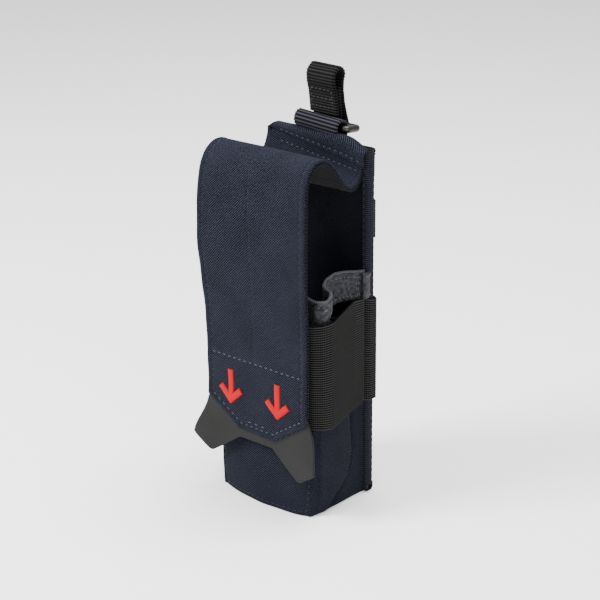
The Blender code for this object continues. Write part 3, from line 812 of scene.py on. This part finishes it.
TRIM_HEIGHT = 13.2
MOUTH_LOW = [(30.2, -1.6), (29.6, -4.6), (27.8, -11), (26.4, -18), (26.2, -23.0), (26.4, -24.6),
             (28.2, -26.0), (30.8, -27.6), (31.6, -30.6), (30.9, -33.8), (28.4, -35.4), (24, -35.6),
             (0, -35.7)]
MOUTH_HIGH = [(30.4, -1.6), (28.9, -4.8), (26.2, -10.6), (24.6, -17.6), (24.6, -22.6), (25.2, -24.8),
              (27.4, -26.0), (31.4, -26.6), (33.6, -29.6), (33.2, -33.4), (30.2, -35.8), (26.6, -34.4),
              (22, -33.2), (0, -33.0)]
MOUTH_RISE = [(-40, 95.6), (-32, 95.7), (-27, 98.2), (-22, 102.0), (-17, 103.3), (-10, 103.0), (-2, 102.3)]


def mouth_surface():
    """The trim's surface, from a plan path low on it to a wider one, and half its width."""
    low, high = (Path(mirrored(half), soft=0.8) for half in (MOUTH_LOW, MOUTH_HIGH))
    length = high.length

    def middle(a, s):
        share = smooth_step(s / 7)[..., None]
        at = low((a / length + 0.5) * low.length) * (1 - share) + high(a + length / 2) * share
        x, y = at[..., 0], at[..., 1]
        z = np.interp(y, *zip(*MOUTH_RISE)) + s + sway(a, 0 * s, 8, 0.25, 20)
        return places(x, y, z)

    return middle, length / 2


def mouth():
    """The trim bound over the pocket's mouth, dented inwards behind each front corner."""
    middle, half = mouth_surface()

    def relief(a, s):
        piping = 0.35 * np.exp(-((s - 12.5) / 0.8) ** 2)
        return piping + groove(s - 11.0, 0.3, 0.5) + groove(s - 1.8, 0.25, 0.5) + sway(a, s, 21, 0.22, 7)

    trim = Cloth(middle, 1.5, relief=relief)
    fit(trim.cover("mouth_trim", (-half, half, 0.45), (0, TRIM_HEIGHT, 0.4), SLATE),
        "pouch", "slate_trim", "front_trim", "mouth_trim_left", "mouth_trim_right")
    rows = [[(1.5 - half, at), (half - 1.5, at)] for at in (1.6, 11.0)]
    for side in (-1, 1):
        rows += [[(side * (half - at), 0.8), (side * (half - at), 12.4)] for at in (3.2, 4.3, 8.6)]
        rows += [[(side * 33.0, at), (side * 36.5, at)] for at in (1.0, 1.7, 9.4, 10.1)]
    sew("mouth_trim_stitches", trim, rows, GREY_THREAD, "pouch", "slate_trim", (1.7, 0.8, 0.24), 0.1)
    # A thin lighter roll along the trim's top edge: real piping, coloured light as a painted highlight along
    # the rim.
    piping = Cloth(middle, 1.5, relief=lambda a, s: 0.1 * np.sin(2 * math.pi * a / 1.5) ** 2)
    rim = (TRIM_HEIGHT - 0.3, TRIM_HEIGHT + 0.4, 0.23)
    fit(piping.cover("mouth_piping_painted_highlight", (-half, half, 0.3), rim, PIPING_PAINTED_HIGHLIGHT), "pouch", "slate_trim")
    # A near-black facing over the trim's front: painted shade where the flap shadows the pocket's mouth.
    facing = Cloth(middle, 0.8, offset=1.0, relief=lambda a, s: sway(a, s, 45, 0.1, 4))
    fit(facing.cover("mouth_facing_painted_shade", (-30.0, 30.0, 0.5), (-1.5, TRIM_HEIGHT - 1.0, 0.5), FACING_PAINTED_SHADE),
        "pouch", "hook_and_loop")
    for word, side in SIDES:
        path = Path([(side * 30.9, 0.6), (side * 32.3, 0.0), (side * 32.4, -2.6), (side * 31.7, -3.8)],
                    soft=0.4)
        tab = Cloth(along_z(path, 102.6), 1.2, side=-side, relief=lambda a, s: sway(a, s, 31, 0.15, 5))
        fit(tab.cover(f"trim_end_{word}", (0, path.length, 0.4), (0, 12.4, 0.4), SLATE),
            "pouch", "slate_trim")
        bars = [[(0.9, at), (path.length - 0.9, at)] for at in (1.0, 1.7, 10.7, 11.4)]
        sew(f"trim_end_tacks_{word}", tab, bars, GREY_THREAD, "pouch", "slate_trim", (1.0, 0.1, 0.22), 0.1)


# ---------------------------------------------------------------- elastic

ELASTIC_HALF = [(0, 6.05), (27, 6.05), (31.2, 5.7), (32.9, 4.4), (32.9, -0.2), (32.2, -1.1), (30.4, -1.9),
                (30.4, -2.6), (31.9, -3.6), (32.6, -13), (34.2, -23), (35.4, -30.5), (34.4, -35.4),
                (31.0, -39.1), (26, -39.9), (0, -39.6)]


def elastic():
    """One ribbed band around the pocket and the panel. Its edges slant up towards the panel."""
    path = Path(mirrored(ELASTIC_HALF, 1), soft=0.5)
    height = 52.5

    def middle(a, s):
        at = path(a)
        y = at[..., 1]
        low = np.interp(y, [-40, -31, -23, -13, -4, 2], [46.9, 45.8, 47.0, 48.7, 50.2, 49.8])
        high = np.interp(y, [-40, -28.5, -11.4, -3, 2], [98.2, 98.9, 103.6, 102.5, 101.0])
        return places(at[..., 0], y, low + (high - low) * s / height)

    band = Cloth(middle, 0.9, side=-1, relief=lambda a, s: ribbed(s, RIB, 0.23))
    fit(band.cover("elastic_band", (0, path.length, 0.9), (0, height, RIB / 5), ELASTIC),
        "pouch", "ribbed_elastic", "retention_elastic")


# ---------------------------------------------------------------- straps on the back

def back_straps():
    """Two webbing straps down the rear, free at the top, and the elastic keeper across them."""
    for word, side in SIDES:
        path = Path([(4.35, 29), (4.35, 149), (5.4, 158), (8.0, 172.4)], soft=2.0)
        strap = Cloth(along_x(path, side * 16), 1.7, side=-1, relief=lambda a, s: ribbed(s, STRAP_RIB, 0.13))
        rows = evenly(0, path.length, STRAP_RIB / 5)
        a, s = tapered(lambda s: 12.45 + ribbed(s, STRAP_RIB, 0.22), rows, 27)
        bend = ("pouch", f"strap_end_{word}", point(0, 5, 147), point(0, 5, 154))
        fit(strap.mesh(f"back_strap_{word}", a, s, BLACK_WEBBING), bend, "black_webbing",
            f"mounting_strap_{word}", f"strap_end_{word}")
        bars = [[(-11, at), (11, at)] for at in (1.6, 2.2, 18.0)]
        bars += [[(x, 1), (x, 18)] for x in (-11.2, 11.2)]
        sew(f"back_strap_stitches_{word}", strap, bars, BLACK_THREAD, "pouch", "black_webbing",
            (2.0, 0.8, 0.28), 0.1)
    plan = [(-30.6, 3.2), (-31.6, 4.9), (-29.5, 6.15), (29.5, 6.15), (31.6, 4.9), (30.6, 3.2)]
    path = Path(plan, soft=0.7)
    keeper = Cloth(along_z(path, 131.0), 1.1, side=-1, relief=lambda a, s: ribbed(s, RIB, 0.08))
    fit(keeper.cover("back_keeper", (0, path.length, 1.0), (0, 18, RIB / 5), ELASTIC),
        "pouch", "black_webbing", "strap_keeper")
    middle = path.length / 2
    bars = [[(at, 1), (at, 17)] for at in (5.0, middle - 1, middle + 1, path.length - 5.0)]
    sew("back_keeper_stitches", keeper, bars, BLACK_THREAD, "pouch", "black_webbing", (1.2, 0.3, 0.25), 0.1)


# ---------------------------------------------------------------- ring and pull strap

RING_X = 1.0
RING_FRONT = np.array([2.6, 180.5])
RING_LEAN = math.radians(-6)
RING_DEPTH, RING_HALF, RING_WIRE = 8.4, 14.7, 1.75
LOOP_SLANT = 0.07  # how fast the front of the ring's loop falls from left to right
RING_BACK = RING_FRONT + RING_DEPTH * np.array([math.cos(RING_LEAN), math.sin(RING_LEAN)])


def arc(centre, radius, start, end, count=20):
    """Points on a circle, from one angle to another in degrees, measured from y towards z."""
    turns = np.radians(np.linspace(start, end, count))
    return [(centre[0] + radius * math.cos(t), centre[1] + radius * math.sin(t)) for t in turns]


def ring():
    """A closed rounded rectangle of wire."""
    half, deep = RING_HALF, RING_DEPTH
    outline = Path([(0, 0), (half, 0), (half, deep), (-half, deep), (-half, 0), (0, 0)], step=0.2).points[:-1]
    reach = 36
    wrapped = np.concatenate([outline[-reach:], outline, outline[:reach]])
    line = soften(wrapped, 6)[reach:-reach][::2]
    forward = np.roll(line, -1, axis=0) - np.roll(line, 1, axis=0)
    forward /= np.linalg.norm(forward, axis=1, keepdims=True)
    aside = np.stack([forward[:, 1], -forward[:, 0]], axis=1)
    turns = np.linspace(0, 2 * math.pi, 20, endpoint=False)
    spread = line[:, None] + aside[:, None] * (RING_WIRE * np.cos(turns))[None, :, None]
    lift = RING_WIRE * np.sin(turns)
    y = RING_FRONT[0] + spread[..., 1] * math.cos(RING_LEAN) - lift * math.sin(RING_LEAN)
    z = RING_FRONT[1] + spread[..., 1] * math.sin(RING_LEAN) + lift * math.cos(RING_LEAN)
    index = np.arange(y.size).reshape(y.shape)
    faces = quads(np.pad(index, (0, 1), mode="wrap"))
    flat = np.stack(np.broadcast_arrays(np.arange(len(line))[:, None] * 0.4, turns * RING_WIRE), -1)
    wire = new_mesh("ring_wire", in_frame(places(RING_X + spread[..., 0], y, z).reshape(-1, 3)), faces,
                    flat.reshape(-1, 2), METAL)
    fit(wire, "ring", "ring_metal", "ring")


def ring_loop():
    """Ribbed webbing folded round the ring's front bar and sewn behind the hem."""
    points = ([(5.4, 168.6), (5.4, 176.4)] + arc(RING_FRONT, 3.5, -30, 70, 12)
              + arc(RING_FRONT + (-0.7, 0.6), 3.75, 95, 232, 18) + [(1.0, 177.2), (3.0, 177.0)])
    path = Path(points, soft=0.5)
    straight = along_x(path, RING_X - 0.4)

    def slanted(a, s):
        x, y, z = np.moveaxis(straight(a, s), -1, 0)
        return places(x, y, z + LOOP_SLANT * (RING_X + 5 - x) * smooth_step((4.5 - y) / 3))

    loop = Cloth(slanted, 1.5, side=-1, relief=lambda a, s: ribbed(s, STRAP_RIB, 0.16))
    a, s = tapered(lambda s: 12.9 + ribbed(s, STRAP_RIB, 0.12), evenly(0, path.length, 0.25), 34)
    fit(loop.mesh("ring_loop", a, s, NAVY_WEBBING), "pouch", "navy_webbing", "ring_keeper")
    rows = [[(-12, at), (12, at)] for at in (2.0, 6.0)]
    sew("ring_loop_stitches", loop, rows, NAVY_THREAD, "pouch", "navy_webbing", lift=0.1)


def pull_strap():
    """Heavy webbing folded round the ring's rear bar, doubled back at the top round a small eye."""
    foot = RING_BACK
    eye = np.array([7.6, 203.4])
    points = ([(6.9, 185.4), (6.5, 190.0), (5.6, 196.0), (4.4, 200.2)] + arc(eye, 3.4, 190, 110, 8)[1:]
              + arc(eye + (0, 0.9), 3.4, 100, -40, 12) + [(10.0, 197.0), (11.0, 190.5), (12.6, 184.4)]
              + arc(foot, 3.05, 20, -200, 22) + [(9.3, 184.8), (8.7, 190.0), (7.6, 197.0), (8.0, 198.0)])
    path = Path(points, soft=0.6)
    swivel = math.radians(-4)

    def turned(a, s):
        at = path(s)
        lean = 0.2 * smooth_step((at[..., 1] - 186) / 20)
        y = at[..., 0] - foot[0]
        return places(a * math.cos(swivel) - y * math.sin(swivel) - 1.1 + lean,
                      a * math.sin(swivel) + y * math.cos(swivel) + foot[0], at[..., 1])

    pitch, depth = 1.3, 0.14
    strap = Cloth(turned, 1.75, side=1, relief=lambda a, s: ribbed(s, pitch, depth))
    a, s = tapered(lambda s: 8.7 + ribbed(s, pitch, depth), evenly(0, path.length, 0.25), 27)
    fit(strap.mesh("pull_webbing", a, s, BLACK_WEBBING), "pull_strap", "black_webbing", "pull_strap")
    low, middle, high, half = 3.0, 7.3, 12.1, 6.8
    rows = [[(-half, high), (-half, low), (half, low), (half, high), (-half, high)],
            [(-half, middle), (half, middle)]]
    sew("pull_webbing_stitches", strap, rows, DIM_THREAD, "pull_strap", "black_webbing",
        (1.5, 1.1, 0.24), 0.1)


# ---------------------------------------------------------------- fastener, tab and arrows

def fasteners():
    """The hook field under the flap and the loop field on the elastic."""
    hooks = Cloth(upright(-42.15), 1.0, side=-1, relief=lambda a, s: sway(a, s, 41, 0.1, 4))
    loops = Cloth(upright(-40.75), 0.9, relief=lambda a, s: sway(a, s, 43, 0.1, 4))
    fit(hooks.cover("hook_field", (-19, 19, 0.6), (57, 93, 0.6), HOOKS),
        "flap_front", "hook_and_loop", "hook_patch")
    fit(loops.cover("loop_field", (-20, 20, 0.6), (53, 96, 0.6), LOOPS),
        "pouch", "hook_and_loop", "loop_patch")


TAB_TOP = [(-39.8, 27.6), (-38.9, 31), (-32.5, 49.5), (-30.5, 53.3), (30.5, 53.3), (32.5, 49.5), (38.9, 31),
           (39.8, 27.6)]
TAB_FOOT = [(-39.8, 27.2), (-38.6, 25.9), (-29.9, 20.0), (-28.4, 20.0), (-16.5, 27.8), (-10.5, 32.2),
            (10.5, 32.2), (16.5, 27.8), (28.0, 20.4), (29.5, 20.4), (38.6, 26.4), (39.8, 27.6)]


def pull_tab():
    """A stiff coated sheet sewn under the flap's tip, with a wing at each side to pull."""
    x = evenly(-39.8, 39.8, 0.5)
    top = soften(np.interp(x, *zip(*TAB_TOP)), 0.9)
    foot = soften(np.interp(x, *zip(*TAB_FOOT)), 1.2)
    share = np.linspace(0, 1, 60)
    z = foot[None] + (top - foot)[None] * share[:, None]

    def middle(a, s):
        wing = smooth_step((np.abs(a) - 12) / 28) * smooth_step((46 - s) / 18)
        y = -43.15 - wing * np.where(a < 0, 2.2, 2.8) + sway(a, s, 51, 0.18, 26)
        return places(a - 2.0 * smooth_step((46 - s) / 20), y, s)

    sheet = Cloth(middle, 1.15)
    piece = sheet.mesh("pull_tab", np.repeat(x[None], len(share), 0), z, SHEET)
    fit(piece, TAB_BEND, "coated_sheet", "pull_tab_root", "pull_tab_wings")


def arrows():
    """Two plain down arrows in satin stitch, laid on the flap's face."""
    face = Cloth(flap_middle, LAYER, side=-1, offset=LAYER_OFFSET)
    stroke, pitch = 3.2, 0.6
    top, tip, reach = 66.4, 49.4, 6.6
    for word, middle_x in (("left", -16.2), ("right", 14.0)):
        strokes = [((0, top), (0, tip + 2.2))]
        strokes += [((side * reach, tip + reach + 0.8), (-side * 0.9, tip + 0.6)) for side in (-1, 1)]
        for number, (start, end) in enumerate(strokes):
            start, end = np.array(start), np.array(end)
            length = float(np.linalg.norm(end - start))
            down = (end - start) / length
            aside = np.array([-down[1], down[0]])

            def middle(u, v):
                x = middle_x + start[0] + aside[0] * u + down[0] * v
                z = start[1] + aside[1] * u + down[1] * v
                return face.face(x, FLAP_CORNER_S + FLAP_CORNER_Z - z, 0.1 * number)

            def relief(u, v):
                pillow = 0.55 * np.sqrt(np.clip(1 - (2 * u / stroke) ** 2, 0, 1))
                return pillow + ribbed(v, pitch, 0.05)

            turned = np.cross((aside[0], 0, aside[1]), (down[0], 0, down[1]))
            satin = Cloth(middle, 0.35, side=1 if turned[1] < 0 else -1, relief=relief)
            rows = evenly(0, length, 0.15)
            u, v = tapered(lambda s: stroke / 2 + ribbed(s, pitch, 0.12), rows, 17)
            name = f"arrow_{word}_{('shaft', 'barb_a', 'barb_b')[number]}"
            nodes = (f"embroidered_arrow_{word}",) if number == 0 else ()
            fit(satin.mesh(name, u, v, RED_THREAD), "flap_front", "red_thread", *nodes)


# ---------------------------------------------------------------- camera and studio

def camera():
    """A long lens, up and to the right of the flap's front."""
    azimuth, elevation, roll = math.radians(41.94), math.radians(20.15), math.radians(-0.47)
    target, distance = Vector(point(0, -12.97, 96.92)), 0.8017
    back = Vector((math.sin(azimuth) * math.cos(elevation), -math.cos(azimuth) * math.cos(elevation),
                   math.sin(elevation)))
    right = Vector((math.cos(azimuth), math.sin(azimuth), 0))
    turned = Matrix((right, back.cross(right), back)).transposed() @ Matrix.Rotation(roll, 3, "Z")
    data = bpy.data.cameras.new("camera")
    data.lens = 100
    data.sensor_width = 36
    made = bpy.data.objects.new("camera", data)
    made.matrix_world = Matrix.Translation(target + back * distance) @ turned.to_4x4()
    bpy.context.scene.collection.objects.link(made)
    bpy.context.scene.camera = made


def light(name, where, energy, size):
    data = bpy.data.lights.new(name, "AREA")
    data.energy = energy
    data.shape = "DISK"
    data.size = size
    made = bpy.data.objects.new(name, data)
    made.location = where
    made.rotation_euler = (Vector((0, 0, 0.1)) - Vector(where)).to_track_quat("-Z", "Y").to_euler()
    bpy.context.scene.collection.objects.link(made)


def studio():
    """A white floor under broad soft lights."""
    world = bpy.data.worlds.new("studio")
    world.use_nodes = True
    world.node_tree.nodes["Background"].inputs["Color"].default_value = (1, 1, 1, 1)
    world.node_tree.nodes["Background"].inputs["Strength"].default_value = 1.0
    bpy.context.scene.world = world
    light("key", (-0.5, -0.8, 0.9), 32, 0.5)
    light("fill", (0.9, -0.5, 0.5), 6, 0.6)
    light("top", (0.1, 0.2, 1.2), 21, 0.6)
    bpy.ops.mesh.primitive_plane_add(size=6)
    floor = bpy.context.object
    floor.name = "floor"
    white = bpy.data.materials.new("floor_white")
    white.use_nodes = True
    white.node_tree.nodes["Principled BSDF"].inputs["Base Color"].default_value = (0.95, 0.95, 0.95, 1)
    white.node_tree.nodes["Principled BSDF"].inputs["Roughness"].default_value = 0.9
    floor.data.materials.append(white)


camera()
studio()
for build in (panel, pocket, mouth, elastic, back_straps, ring, ring_loop, pull_strap, fasteners, flap,
              pull_tab, arrows):
    build()
